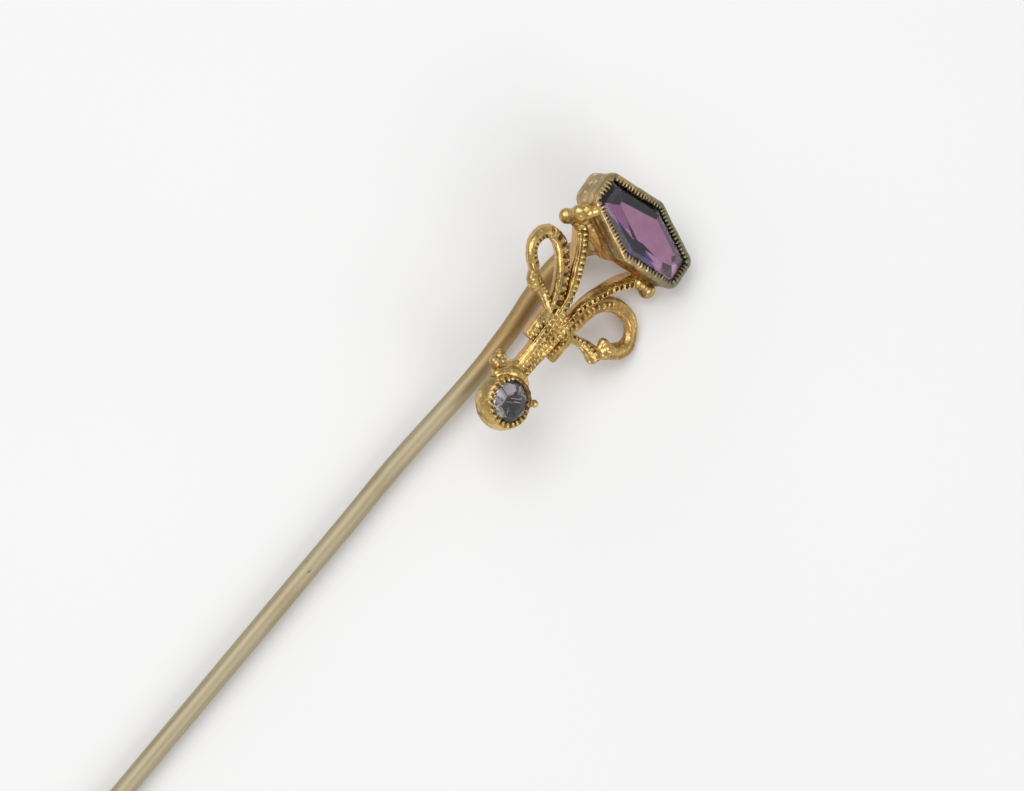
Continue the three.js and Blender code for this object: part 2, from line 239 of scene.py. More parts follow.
def pit_row(run, across, centre, radius, pitch, seed=0, deep=0.13):
    """A row of punched pits with small raised bridges between them."""
    index = np.round(run / pitch)
    jitter = 0.2 * pitch * (hash01(index, seed) - 0.5)
    size = radius * (0.8 + 0.45 * hash01(index, seed + 3))
    along = (run - index * pitch - jitter) / 0.9
    away = np.sqrt(along ** 2 + ((across - centre) / 1.15) ** 2) / size
    hole = 1 - smoothstep(0.55, 1.1, away)
    lip = np.exp(-((away - 1.3) / 0.32) ** 2)
    # The pits are painted dark: dirt and painted shade.
    return 0.05 * lip - deep * hole, 0.95 * hole


def rail(across, centre, width, high):
    """A smooth raised line along the band, with a fine dark line of dirt and painted shade on
    either side.
    """
    hump = np.cos(np.clip((across - centre) / width, -1, 1) * math.pi / 2) ** 2
    edge = np.exp(-((np.abs(across - centre) - 1.05 * width) / 0.035) ** 2)
    return high * hump - 0.02 * edge, 0.55 * edge


def total(*parts):
    """Adds reliefs: heights are summed, the darkening of dirt and painted shade takes the deepest.
    """
    return sum(h for h, _ in parts), np.maximum.reduce([d for _, d in parts])


def fading(relief, share):
    height, dirt_and_shade = relief
    return height * share, dirt_and_shade * share


def band(name, line, half_at, relief, replaced, steps=150, around=56, thick=SCROLL_THICK,
         deeper_at=None, square=0.55, shift_y=0.0, brown=0.0):
    """A strip of scrollwork along a line in X and Z, with rounded edges and relief on its front."""
    places, tangents, run = spline(line, steps)
    half = half_at(run / run[-1])
    end = np.minimum(run, run[-1] - run)
    pinch = np.sqrt(np.clip(1 - (1 - np.clip(end / (0.8 * half), 0, 1)) ** 2, 0.0025, 1))
    angle = np.linspace(0, 2 * math.pi, around, endpoint=False)
    wide = np.sign(np.cos(angle)) * np.abs(np.cos(angle)) ** square
    deep = np.sign(np.sin(angle)) * np.abs(np.sin(angle)) ** square
    across = (half * pinch)[:, None] * wide[None, :]
    behind = 0 * run if deeper_at is None else deeper_at(places[:, 1])
    reach = np.where(deep[None, :] > 0, thick / 2 + behind[:, None], thick / 2)
    depth = reach * np.sqrt(pinch)[:, None] * deep[None, :]
    front = smoothstep(0.35, 0.9, -deep)[None, :]
    height, dirt_and_shade = relief(run[:, None] + 0 * across, across)
    height = height * front * smoothstep(0, 0.25, end)[:, None]
    x = places[:, 0, None] - tangents[:, 1, None] * across
    z = places[:, 1, None] + tangents[:, 0, None] * across
    y = sheet_y(x, z) + depth - height + shift_y
    points = wobble(wobble(np.stack((x, y, z), axis=2), 0.9, 0.035), 0.25, 0.014)
    # Walls and back get a painted brown, as shade and floor reflection darken them; the brown
    # amount browns the whole band besides.
    side = np.maximum(1 - smoothstep(-0.1, 0.75, -deep)[None, :], brown) + 0 * across
    return skin(name, points, replaced, "gilt_scrollwork", GILT,
                cavity=np.clip(dirt_and_shade * front, 0, 1), patina=side)


# ---- Node materials ----
class Shader:
    """Small helper that makes and wires the nodes of one material."""

    def __init__(self, name):
        self.material = bpy.data.materials.new(name)
        self.material.use_nodes = True
        self.nodes = self.material.node_tree.nodes
        self.links = self.material.node_tree.links
        self.surface = self.nodes["Principled BSDF"]
        self.where = self.nodes.new("ShaderNodeTexCoord").outputs["Object"]

    def set(self, **values):
        for key, value in values.items():
            self.surface.inputs[key.replace("_", " ")].default_value = value

    def link(self, source, socket):
        self.links.new(source, self.surface.inputs[socket])

    def grain(self, size, detail=4, rough=0.55, stretch=(1, 1, 1)):
        """Noise whose features are about that many millimetres across, longer where stretched."""
        mapping = self.nodes.new("ShaderNodeMapping")
        mapping.inputs["Scale"].default_value = [1 / (size * MM * s) for s in stretch]
        self.links.new(self.where, mapping.inputs["Vector"])
        texture = self.nodes.new("ShaderNodeTexNoise")
        texture.inputs["Scale"].default_value = 1
        texture.inputs["Detail"].default_value = detail
        texture.inputs["Roughness"].default_value = rough
        self.links.new(mapping.outputs["Vector"], texture.inputs["Vector"])
        return texture.outputs["Fac"]

    def ramp(self, value, low, high, to_low=0.0, to_high=1.0):
        node = self.nodes.new("ShaderNodeMapRange")
        node.interpolation_type = "SMOOTHSTEP"
        limits = (("From Min", low), ("From Max", high), ("To Min", to_low), ("To Max", to_high))
        for key, number in limits:
            node.inputs[key].default_value = number
        self.links.new(value, node.inputs["Value"])
        return node.outputs["Result"]

    def sum(self, a, b, operation="ADD"):
        node = self.nodes.new("ShaderNodeMath")
        node.operation = operation
        node.use_clamp = True
        for socket, value in zip(node.inputs, (a, b)):
            self.links.new(value, socket)
        return node.outputs[0]

    def mix(self, share, a, b):
        node = self.nodes.new("ShaderNodeMix")
        node.data_type = "RGBA"
        sockets = {s.identifier: s for s in node.inputs}
        self.links.new(share, sockets["Factor_Float"])
        for socket, value in ((sockets["A_Color"], a), (sockets["B_Color"], b)):
            if isinstance(value, tuple):
                socket.default_value = (*value, 1)
            else:
                self.links.new(value, socket)
        return next(s for s in node.outputs if s.identifier == "Result_Color")

    def layer(self, word):
        node = self.nodes.new("ShaderNodeAttribute")
        node.attribute_name = word
        return node.outputs["Fac"]

    def bump(self, height, distance, strength):
        node = self.nodes.new("ShaderNodeBump")
        node.inputs["Distance"].default_value = distance * MM
        node.inputs["Strength"].default_value = strength
        self.links.new(height, node.inputs["Height"])
        self.link(node.outputs["Normal"], "Normal")


def darken_hollows(s, colour, dirt_and_shade_colour):
    """Lays dirt and painted shade into the hollows, broken up by grain; returns the colour and how
    much it is darkened.
    """
    broken = s.ramp(s.grain(0.3, 5), 0.28, 0.66, 0.5, 1.0)
    dirt_and_shade = s.sum(s.ramp(s.layer("cavity"), 0.12, 0.8), broken, "MULTIPLY")
    return s.mix(dirt_and_shade, colour, dirt_and_shade_colour), dirt_and_shade


def gilt_material():
    s = Shader("worn_gilt")
    s.set(Metallic=1.0)
    tone = s.mix(s.ramp(s.grain(0.8, 3), 0.4, 0.6), (0.66, 0.45, 0.155), (0.48, 0.32, 0.105))
    rubbed = s.mix(s.ramp(s.grain(0.22, 5), 0.52, 0.72), tone, (0.95, 0.77, 0.42))
    dull = s.mix(s.ramp(s.grain(1.3, 5, 0.6), 0.48, 0.66, 0.0, 0.75), rubbed, (0.28, 0.21, 0.1))
    # Browner where the mesh layer asks: painted shade and reflection on the walls of the
    # scrollwork, a brown tone elsewhere.
    brown = s.sum(s.layer("patina"), s.ramp(s.grain(1.1, 4), 0.32, 0.66, 0.3, 1.0), "MULTIPLY")
    browned = s.mix(brown, dull, (0.56, 0.29, 0.1))
    colour, dirt_and_shade = darken_hollows(s, browned, (0.11, 0.058, 0.02))
    s.link(colour, "Base Color")
    polish = s.ramp(s.grain(0.2, 4), 0.35, 0.7, 0.16, 0.34)
    s.link(s.sum(polish, s.ramp(dirt_and_shade, 0, 1, 0, 0.3)), "Roughness")
    s.bump(s.grain(0.2, 4, 0.55), 0.035, 0.75)
    return s.material


def setting_material():
    s = Shader("tarnished_setting_brass")
    s.set(Metallic=1.0)
    tone = s.mix(s.ramp(s.grain(1.5, 4), 0.42, 0.6), (0.5, 0.35, 0.17), (0.32, 0.24, 0.12))
    bright = s.mix(s.ramp(s.grain(0.3, 5), 0.52, 0.7), tone, (0.78, 0.6, 0.34))
    olive = s.mix(s.ramp(s.layer("olive"), 0.0, 1.0, 0.0, 0.85), bright, (0.21, 0.21, 0.13))
    # Orange-brown low on the lower side of the base, from the mesh layer: painted warm reflection.
    warm = s.mix(s.ramp(s.layer("patina"), 0.0, 1.0), olive, (0.62, 0.3, 0.09))
    colour, dirt_and_shade = darken_hollows(s, warm, (0.03, 0.024, 0.013))
    s.link(colour, "Base Color")
    polish = s.ramp(s.grain(0.25, 4), 0.35, 0.7, 0.24, 0.42)
    s.link(s.sum(polish, s.ramp(dirt_and_shade, 0, 1, 0, 0.3)), "Roughness")
    s.bump(s.grain(0.2, 5, 0.6), 0.03, 0.7)
    return s.material


def wire_material():
    s = Shader("drawn_brass_wire")
    s.set(Metallic=1.0)
    drawn = s.grain(0.22, 3, stretch=(40, 1, 1))
    tone = s.mix(s.ramp(drawn, 0.35, 0.65), (0.41, 0.35, 0.23), (0.48, 0.415, 0.28))
    patches = s.mix(s.ramp(s.grain(3.0, 4), 0.45, 0.7), tone, (0.4, 0.325, 0.2))
    warm = s.mix(s.ramp(s.layer("patina"), 0.0, 1.0, 0.0, 0.9), patches, (0.42, 0.285, 0.12))
    spots = s.ramp(s.grain(0.55, 3, stretch=(2.2, 1, 1)), 0.7, 0.75)
    s.link(s.mix(spots, warm, (0.13, 0.1, 0.06)), "Base Color")
    s.link(s.sum(s.ramp(drawn, 0.3, 0.7, 0.5, 0.62), s.ramp(spots, 0, 1, 0, 0.3)), "Roughness")
    s.bump(s.sum(drawn, spots, "SUBTRACT"), 0.015, 0.5)
    return s.material


def glass_material(name, pale, deep, index):
    s = Shader(name)
    s.set(IOR=index, Transmission_Weight=1.0, Roughness=0.012, Specular_IOR_Level=0.1)
    s.link(s.mix(s.ramp(s.grain(2.5, 2), 0.3, 0.7), pale, deep), "Base Color")
    s.bump(s.grain(0.9, 2), 0.003, 0.3)
    return s.material


def foil_material(name, tints):
    """Lacquered foil, painted with the stone's colour and with the reflections, highlights and
    shade its facets show. The tint layer picks its colour, from the first, at 0, to the last, at 1.
    """
    s = Shader(name)
    s.set(Metallic=0.3, Specular_IOR_Level=0.02)
    node = s.nodes.new("ShaderNodeValToRGB")
    ramp = node.color_ramp
    while len(ramp.elements) < len(tints):
        ramp.elements.new(0.5)
    for element, (at, tint) in zip(ramp.elements, tints):
        element.position = at
        element.color = (*tint, 1)
    s.links.new(s.layer("tint"), node.inputs["Fac"])
    shade = s.ramp(s.grain(0.6, 3), 0.3, 0.7)
    darker = s.mix(s.ramp(shade, 0, 1, 0.0, 0.12), node.outputs["Color"], (0.02, 0.01, 0.03))
    s.link(darker, "Base Color")
    s.link(s.ramp(s.grain(0.4, 4), 0.35, 0.7, 0.46, 0.56), "Roughness")
    return s.material


GILT = gilt_material()
SETTING = setting_material()
WIRE = wire_material()
VIOLET = glass_material("violet_paste", (0.97, 0.9, 0.96), (0.92, 0.83, 0.92), 1.5)
CLEAR = glass_material("colourless_paste", (0.97, 0.96, 0.98), (0.93, 0.92, 0.95), 1.55)
VIOLET_FOIL = foil_material("foil_under_violet_paste", [
    (0.0, (0.006, 0.005, 0.006)), (0.1, (0.01, 0.003, 0.02)), (0.25, (0.13, 0.04, 0.36)),
    (0.4, (0.5, 0.21, 0.43)), (0.5, (0.13, 0.075, 0.1)), (0.6, (0.26, 0.19, 0.24)),
    (0.75, (0.7, 0.38, 0.55)), (0.85, (0.75, 0.43, 0.68)), (1.0, (0.95, 0.7, 0.88))])
CLEAR_FOIL = foil_material("foil_under_clear_paste", [
    (0.0, (0.008, 0.006, 0.006)), (0.2, (0.03, 0.022, 0.018)), (0.4, (0.13, 0.11, 0.11)),
    (0.7, (0.6, 0.54, 0.52)), (1.0, (1.0, 0.96, 1.0))])


# ---- The large setting ----
def hex_outline(grow, share):
    """Places on the hexagon, grown by that much, and the ways out, at shares of a turn."""
    slope = math.atan2(HEX_HALF_HIGH - HEX_HALF_END, HEX_HALF_WIDE)
    corner = 0.24
    wide = HEX_HALF_WIDE - corner
    high = HEX_HALF_HIGH - corner / math.cos(slope)
    end = high - wide * math.tan(slope)
    cores = [(wide, -end), (wide, end), (0, high), (-wide, end), (-wide, -end), (0, -high)]
    radius = corner + grow
    right = -math.pi / 2 + slope
    turns = [(right, 0), (0, math.pi / 2 - slope), (math.pi / 2 - slope, math.pi / 2 + slope)]
    turns += [(a + math.pi, b + math.pi) for a, b in turns]
    points, outward = [], []
    for (x, y), (a, b) in zip(cores, turns):
        for angle in np.linspace(a, b, 9):
            outward.append((math.cos(angle), math.sin(angle)))
            points.append((x + radius * outward[-1][0], y + radius * outward[-1][1]))
    points, outward = np.array(points + points[:1]), np.array(outward + outward[:1])
    run = np.append(0, np.cumsum(np.linalg.norm(np.diff(points, axis=0), axis=1)))
    at = np.asarray(share) * run[-1]
    return (np.stack([np.interp(at, run, points[:, k]) for k in (0, 1)], axis=1),
            np.stack([np.interp(at, run, outward[:, k]) for k in (0, 1)], axis=1))


def hex_skin(name, profile_at, count, replaced, ring_shaped=True):
    """Skin round the hexagon. profile_at(share) gives rows of (outward, up, dirt and shade, brown).
    """
    share = np.arange(count) / count
    base, outward = hex_outline(0, share)
    profile = profile_at(share)                      # rows, count, 4
    at_left_end = smoothstep(-3.0, -3.45, base[:, 0])[None, :]     # its grooves are filled there
    filled = at_left_end * smoothstep(0.2, 0.28, profile[:, :, 0])
    filled = filled * smoothstep(0.43, 0.4, profile[:, :, 0])
    profile[:, :, 0] += 0.85 * filled * (0.42 - profile[:, :, 0])
    profile[:, :, 2] *= 1 - 0.7 * filled
    x = base[None, :, 0] + outward[None, :, 0] * profile[:, :, 0]
    y = base[None, :, 1] + outward[None, :, 1] * profile[:, :, 0]
    points = apply(HEX_FRAME, np.stack((x, y, profile[:, :, 1]), axis=2).reshape(-1, 3))
    points = wobble(wobble(points, 1.4, 0.035), 0.5, 0.015).reshape(x.shape + (3,))
    olive = smoothstep(-0.8, 2.4, x + 0.9 * y)
    # Orange-brown on the lower side, away from the left end: painted warm reflection.
    brown = profile[:, :, 3] * smoothstep(0.5, -0.5, y) * smoothstep(-3.9, -2.7, x)
    return skin(name, points, replaced, "setting_brass", SETTING, ring_shaped,
                cavity=profile[:, :, 2], patina=brown, olive=olive)


BEZEL_TEETH = 74
CORNER_STEPS = 5        # places round each rounded corner of a profile
HEX_COLUMNS = 360       # places round the large setting


def rounded_profile(corners, radius):
    """Closed outline through the corners, each rounded; corners are (outward, up)."""
    corners = np.asarray(corners, float)
    rounded = []
    for before, here, after in zip(np.roll(corners, 1, 0), corners, np.roll(corners, -1, 0)):
        into, out = before - here, after - here
        reach = min(radius, 0.45 * np.linalg.norm(into), 0.45 * np.linalg.norm(out))
        a = here + into / np.linalg.norm(into) * reach
        b = here + out / np.linalg.norm(out) * reach
        for t in np.linspace(0, 1, CORNER_STEPS):
            rounded.append((1 - t) ** 2 * a + 2 * t * (1 - t) * here + t ** 2 * b)
    return np.array(rounded)


def bezel_profile(share):
    """Collar wall, rolled inwards over the stone; its inner edge is cut into small teeth."""
    outline = rounded_profile([
        (0.36, -0.68), (0.44, -0.42), (0.47, -0.12), (0.39, 0.05), (0.14, 0.09), (0.03, 0.03),
        (0.0, -0.08), (0.06, -0.22), (0.1, -0.68)], 0.1)
    turn = 2 * math.pi * share
    tooth = 0.5 + 0.5 * np.cos(BEZEL_TEETH * turn + 1.6 * np.sin(3 * turn))
    size = 0.6 + 0.7 * hash01(np.round(share * BEZEL_TEETH), 5)
    rows = []
    for out, up in outline:
        near_rim = smoothstep(-0.3, -0.06, up) * smoothstep(0.32, 0.14, out)
        lift = 0.1 * near_rim * (tooth ** 0.7 * size - 0.6)
        inward = 0.13 * near_rim * smoothstep(0.2, 0.05, out) * (tooth * size - 0.5)
        gaps = (0.5 + 0.35 * size) * near_rim * (1 - tooth) ** 0.8
        # Darker in the gaps between the teeth and low on the wall: dirt and painted shade.
        dirt_and_shade = gaps + 0.3 * smoothstep(-0.5, -0.66, up)
        rows.append(np.stack((out - inward, up + lift, dirt_and_shade, 0 * share), axis=1))
    return np.array(rows)


def plain_profile(corners, radius, dirt_and_shade_at, brown_at=lambda out, up: 0.0, closed=True):
    """The same outline all round. An open one leaves out its first and last corners."""
    outline = rounded_profile(corners, radius)
    if not closed:
        outline = outline[CORNER_STEPS - 1:1 - CORNER_STEPS]

    def profile_at(share):
        rows = [[(out, up, dirt_and_shade_at(out, up), brown_at(out, up))] * len(share)
                for out, up in outline]
        return np.array(rows, float)
    return profile_at


def stone_ring(scale, up):
    """Corners of the hexagon at that scale and height."""
    corners = [(1, -1), (1, 1), (0, 1), (-1, 1), (-1, -1), (0, -1)]
    return [(sx * HEX_HALF_WIDE * scale, sy * (HEX_HALF_END if sx else HEX_HALF_HIGH) * scale, up)
            for sx, sy in corners]


def faceted(name, frame_matrix, rings, replaced, slot_name, material, bevel):
    """Cut stone from stacked rings of corners: flat facets with fine polished edges."""
    count = len(rings[0])
    points = apply(frame_matrix, np.array(rings, float).reshape(-1, 3))
    faces = [tuple(range(count))]
    for r in range(len(rings) - 1):
        for c in range(count):
            d = (c + 1) % count
            low, high = r * count, (r + 1) * count
            faces.append((low + c, low + d, high + d, high + c))
    faces.append(tuple((len(rings) - 1) * count + c for c in range(count)))
    piece = make_piece(name, points, faces, replaced, slot_name, material, smooth=False)
    edge = piece.modifiers.new("polished_edges", "BEVEL")
    edge.width = bevel * MM
    edge.segments = 2
    edge.limit_method = "ANGLE"
    edge.angle_limit = math.radians(8)
    return piece


def inside(x, y, corners):
    """How far each place lies inside a convex outline, given anticlockwise; negative outside."""
    corners = np.asarray(corners, float)
    reach = []
    for (ax, ay), (bx, by) in zip(corners, np.roll(corners, -1, 0)):
        cross = (bx - ax) * (y - ay) - (by - ay) * (x - ax)
        reach.append(cross / math.hypot(bx - ax, by - ay))
    return np.min(reach, axis=0)


# Patches of light and dark painted on the foil under the large stone, as its facets reflect each
# other: outline, in millimetres, and tint from 0, black, through violet to 1, pale. Later ones
# lie over earlier ones.
VIOLET_FACETS = [
    ([(0.15, 1.12), (2.75, 0.42), (3.5, 0.4), (3.1, 1.2), (0.1, 1.95)], 0.6),
    ([(-2.3, 0.2), (0.25, 1.06), (0.2, 2.0), (-3.7, 1.2)], 0.0),
    ([(-3.9, -1.2), (-2.3, -0.03), (-2.35, 0.26), (-3.9, 1.2)], 0.0),
    ([(-2.9, 0.36), (-2.3, 0.22), (-2.3, 0.27), (-2.9, 0.41)], 0.3),
    ([(-2.9, -0.5), (-1.5, -0.85), (-0.5, -0.5), (-2.3, -0.05)], 0.4),
    ([(-4.0, -2.0), (0.0, -2.9), (-0.1, -0.84), (-1.9, -0.76), (-3.3, -0.8)], 0.1),
    ([(-0.1, -2.9), (2.6, -1.4), (1.9, -0.84), (0.8, -0.75), (-0.1, -0.86)], 0.14),
    ([(-1.25, -0.4), (-0.4, -0.76), (0.1, -0.72), (-0.6, -0.5)], 0.02),
    ([(-0.1, -0.72), (0.7, -0.72), (1.55, -0.5), (0.4, -0.56)], 0.02),
    ([(-0.3, -0.8), (0.15, -1.35), (0.75, -0.95), (0.85, -0.66), (-0.1, -0.66)], 0.02),
    ([(0.85, -0.76), (1.1, -1.05), (1.75, -0.98), (1.95, -0.86)], 0.25),
    ([(-0.15, -1.25), (0.05, -1.6), (0.3, -1.45), (0.1, -1.2)], 0.22),
    ([(1.0, -0.72), (2.2, -0.8), (2.4, -0.5), (1.6, -0.52)], 0.85),
    ([(2.15, -0.42), (2.4, -0.74), (3.3, -0.62), (2.8, -0.12)], 0.5),
    ([(2.75, -0.08), (3.3, -0.62), (3.5, -0.2), (3.0, 0.2)], 1.0),
    ([(2.45, 0.3), (2.7, -0.02), (2.8, 0.3), (2.7, 0.5)], 0.5),
    ([(2.75, 0.1), (3.05, 0.15), (3.5, 0.2), (3.3, 0.75), (2.8, 0.6)], 0.6),
]
FOIL_SHIFT = (0.15, 0.1)    # both patterns lie this far off the middle of their foil
LARGE_FOIL_UP = -0.31       # heights of their edges, from the rims
SMALL_FOIL_UP = -0.25
VIOLET_PLAIN = 0.74         # tint between the patches
CLEAR_PLAIN = 0.12


def painted(x, y, facets, plain):
    """The tint at each place on a foil."""
    tint = np.full(x.shape, plain)
    for corners, value in facets:
        cover = smoothstep(-0.02, 0.02, inside(x - FOIL_SHIFT[0], y - FOIL_SHIFT[1], corners))
        tint = tint * (1 - cover) + value * cover
    return tint


def foil_rings(back_rings):
    """Sizes of the rings of a foil, from its middle out and back again, and which are behind."""
    scales = np.concatenate((np.linspace(0.01, 1, 60), np.linspace(1, 0.01, back_rings)))
    return scales, np.arange(len(scales)) >= 60


def foil_height(edge, scales, back):
    """A foil is dished by 0.02 and 0.06 thick."""
    return edge - 0.02 * (1 - scales[:, None]) - 0.06 * back[:, None]


def build_large_foil():
    share = np.arange(HEX_COLUMNS) / HEX_COLUMNS
    outline = hex_outline(0.0, share)[0]
    scales, back = foil_rings(12)
    x, y = scales[:, None] * outline[None, :, 0], scales[:, None] * outline[None, :, 1]
    up = foil_height(LARGE_FOIL_UP, scales, back) + 0 * x
    tint = painted(x, y, VIOLET_FACETS, VIOLET_PLAIN)
    points = apply(HEX_FRAME, np.stack((x, y, up), axis=2).reshape(-1, 3)).reshape(x.shape + (3,))
    skin("fine_amethyst_foil", points, ["amethyst_foil"], "foil", VIOLET_FOIL, tint=tint)


def build_large_setting():
    hex_skin("fine_bezel", bezel_profile, BEZEL_TEETH * 12, ["amethyst_bezel"])
    # The gallery wire is darker on its inner side and the base on its top under the collar, dirt
    # and painted shade; the base browns low down, a painted warm reflection.
    hex_skin("fine_gallery_wire", plain_profile(
        [(0.26, -0.88), (0.34, -0.86), (0.37, -0.77), (0.35, -0.66), (0.1, -0.64),
         (0.1, -0.88)], 0.07,
        lambda out, up: 0.5 * smoothstep(0.34, 0.27, out)), HEX_COLUMNS, ["amethyst_gallery_wire"])
    hex_skin("fine_base", plain_profile(
        [(-0.2, -1.6), (-0.02, -1.6), (0.05, -0.86), (0.3, -0.86), (0.32, -1.04),
         (0.37, -1.18), (0.4, -1.36), (0.38, -1.6), (0.22, -1.78), (-0.08, -1.82),
         (-0.2, -1.82)], 0.14,
        lambda out, up: 0.5 * smoothstep(-1.12, -0.98, up),
        lambda out, up: smoothstep(-0.9, -1.5, up), closed=False),
        HEX_COLUMNS, ["amethyst_base"], ring_shaped=False)
    rings = [stone_ring(0.8, 0.06), stone_ring(1.0, -0.17), stone_ring(1.0, -0.28)]
    faceted("fine_amethyst", HEX_FRAME, rings, ["amethyst_stone"], "violet_paste", VIOLET, 0.012)
    build_large_foil()


# ---- The small cup and its stone ----
def round_skin(name, frame_matrix, profile_at, count, replaced, slot_name, material):
    """Capped skin round an axis. profile_at(turn) gives rows of (radius, up, dirt and shade,
    brown).
    """
    turn = np.arange(count) * 2 * math.pi / count
    profile = profile_at(turn)
    x, y = profile[:, :, 0] * np.cos(turn), profile[:, :, 0] * np.sin(turn)
    points = apply(frame_matrix, np.stack((x, y, profile[:, :, 1]), axis=2).reshape(-1, 3))
    points = wobble(points, 0.9, 0.03).reshape(x.shape + (3,))
    return skin(name, points, replaced, slot_name, material,
                cavity=profile[:, :, 2], patina=profile[:, :, 3])


CUP_TEETH = 24
PASTE_RADIUS = 1.22


def cup_profile(turn):
    """Rounded cup; its rim is cut into small claws that lean in over the stone."""
    line = [(0.02, -CUP_DEEP), (0.6, -CUP_DEEP), (1.05, -1.57), (1.36, -1.42), (1.55, -1.14),
            (1.62, -0.8), (1.6, -0.5), (1.54, -0.25), (1.46, -0.08), (1.38, 0.01), (1.28, 0.03),
            (1.2, -0.02), (1.18, -0.1), (1.2, -0.2), (1.24, -0.3), (1.2, -0.5), (0.9, -0.9),
            (0.02, -0.98)]
    outline = spline(line, 96)[0]
    tooth = 0.5 + 0.5 * np.cos(CUP_TEETH * turn + 0.8 * np.sin(2 * turn))
    size = 0.75 + 0.5 * hash01(np.round(turn * CUP_TEETH / (2 * math.pi)), 11)
    left = 0.5 - 0.5 * np.cos(turn)
    rows = []
    for radius, up in outline:
        near_rim = smoothstep(-0.3, -0.04, up) * smoothstep(1.12, 1.2, radius)
        near_rim = near_rim * smoothstep(1.5, 1.38, radius)
        worn = near_rim * smoothstep(0.45, 0.85, np.sin(turn + 0.3))
        lift = (0.15 - 0.06 * left) * near_rim * (tooth ** 0.7 * size - 0.6)
        pull = 0.09 * near_rim * smoothstep(1.4, 1.2, radius) * tooth
        hidden = smoothstep(1.22, 1.16, radius) * smoothstep(-1.2, -0.9, up)
        claws = near_rim * ((1 - tooth) * (0.9 - 0.5 * left) + 0.3 * left)
        # Darker between the claws, on the wall hidden under the stone and where worn: dirt, wear
        # and painted shade.
        dirt_and_shade = np.maximum(claws + 0.6 * hidden, 0.7 * worn)
        brown = 0.7 * smoothstep(-0.5, -1.3, up) * (1 - left) + 0.45 * near_rim * left
        out = radius - pull * (1 - worn) + 0.06 * worn
        rows.append(np.stack((out, up + lift * (1 - 0.7 * worn), dirt_and_shade, brown), axis=1))
    return np.array(rows)


def tier(radius, up, swell, turn, sides=16):
    """A ring whose corners alternate in and out, which makes kite and triangle facets."""
    corners = []
    for i in range(sides):
        reach = radius * (1 + swell * (-1) ** i)
        angle = 2 * math.pi * (i + turn) / sides
        corners.append((reach * math.cos(angle), reach * math.sin(angle), up))
    return corners


# The same for the small stone: tint from 0, black, through grey to 1, white.
CLEAR_FACETS = [
    ([(-1.3, -0.95), (-0.45, -0.95), (-0.42, 0.0), (-0.7, 0.65), (-1.2, 0.4)], 0.7),
    ([(-0.8, 0.3), (-0.45, 0.0), (-0.15, 0.58), (-0.35, 0.78), (-0.7, 0.65)], 0.8),
    ([(-1.2, 0.18), (-0.45, -0.02), (-0.44, 0.06), (-1.2, 0.3)], 0.4),
    ([(-1.2, -0.1), (-0.5, -0.2), (-0.5, -0.12), (-1.2, 0.0)], 0.95),
    ([(-1.2, -0.32), (-0.5, -0.38), (-0.5, -0.28), (-1.2, -0.2)], 0.35),
    ([(-1.2, -0.58), (-0.5, -0.6), (-0.5, -0.5), (-1.2, -0.46)], 0.45),
    ([(-1.1, -0.85), (-0.6, -0.7), (-0.6, -0.62), (-1.1, -0.7)], 0.3),
    ([(-0.75, -0.98), (-0.35, -0.85), (-0.38, -0.65), (-0.62, -0.72)], 1.0),
    ([(-0.4, -0.95), (0.0, -1.0), (-0.05, -0.72), (-0.35, -0.62)], 0.7),
    ([(-0.4, 0.78), (0.1, 0.42), (0.45, 0.5), (0.35, 1.35), (-0.35, 1.3)], 0.3),
    ([(-0.15, 0.85), (0.0, 0.5), (0.08, 0.48), (-0.05, 0.95)], 0.5),
    ([(0.28, 0.85), (0.6, 0.58), (1.0, 0.72), (0.62, 1.12)], 0.66),
    ([(-0.38, 0.05), (-0.1, 0.1), (0.3, 0.4), (0.12, 0.52)], 0.08),
    ([(-0.45, -0.45), (0.5, -0.45), (0.78, -0.1), (0.55, 0.28), (0.1, -0.02)], 0.0),
    ([(-0.25, 0.05), (0.4, 0.44), (0.36, 0.5), (-0.22, 0.14)], 0.68),
    ([(0.05, 0.02), (0.42, 0.24), (0.4, 0.3), (0.05, 0.1)], 0.72),
    ([(-0.3, -0.25), (0.05, -0.05), (0.02, 0.0), (-0.32, -0.17)], 0.5),
    ([(0.74, -0.24), (0.84, -0.32), (1.02, 0.1), (0.96, 0.5), (0.86, 0.3)], 0.6),
]


def build_small_foil():
    """Leaf foil behind the small stone, in the same way."""
    count = 320
    turn = np.arange(count) * 2 * math.pi / count
    scales, back = foil_rings(8)
    radius = PASTE_RADIUS * scales[:, None]
    x, y = radius * np.cos(turn), radius * np.sin(turn)
    up = foil_height(SMALL_FOIL_UP, scales, back) + 0 * x
    tint = painted(x, y, CLEAR_FACETS, CLEAR_PLAIN)
    points = apply(CUP_FRAME, np.stack((x, y, up), axis=2).reshape(-1, 3)).reshape(x.shape + (3,))
    skin("fine_paste_foil", points, ["paste_foil"], "foil", CLEAR_FOIL, tint=tint)


def build_small_setting():
    round_skin("fine_cup", CUP_FRAME, cup_profile, CUP_TEETH * 14, ["paste_cup"],
               "gilt_scrollwork", GILT)
    tiers = [tier(0.5, 0.26, 0.04, 0), tier(0.86, 0.17, 0.04, 0.5), tier(1.12, 0.0, 0.02, 0),
             tier(PASTE_RADIUS, -0.12, 0, 0), tier(PASTE_RADIUS, -0.22, 0, 0)]
    faceted("fine_paste", CUP_FRAME, tiers, ["paste_stone"], "clear_paste", CLEAR, 0.006)
    build_small_foil()


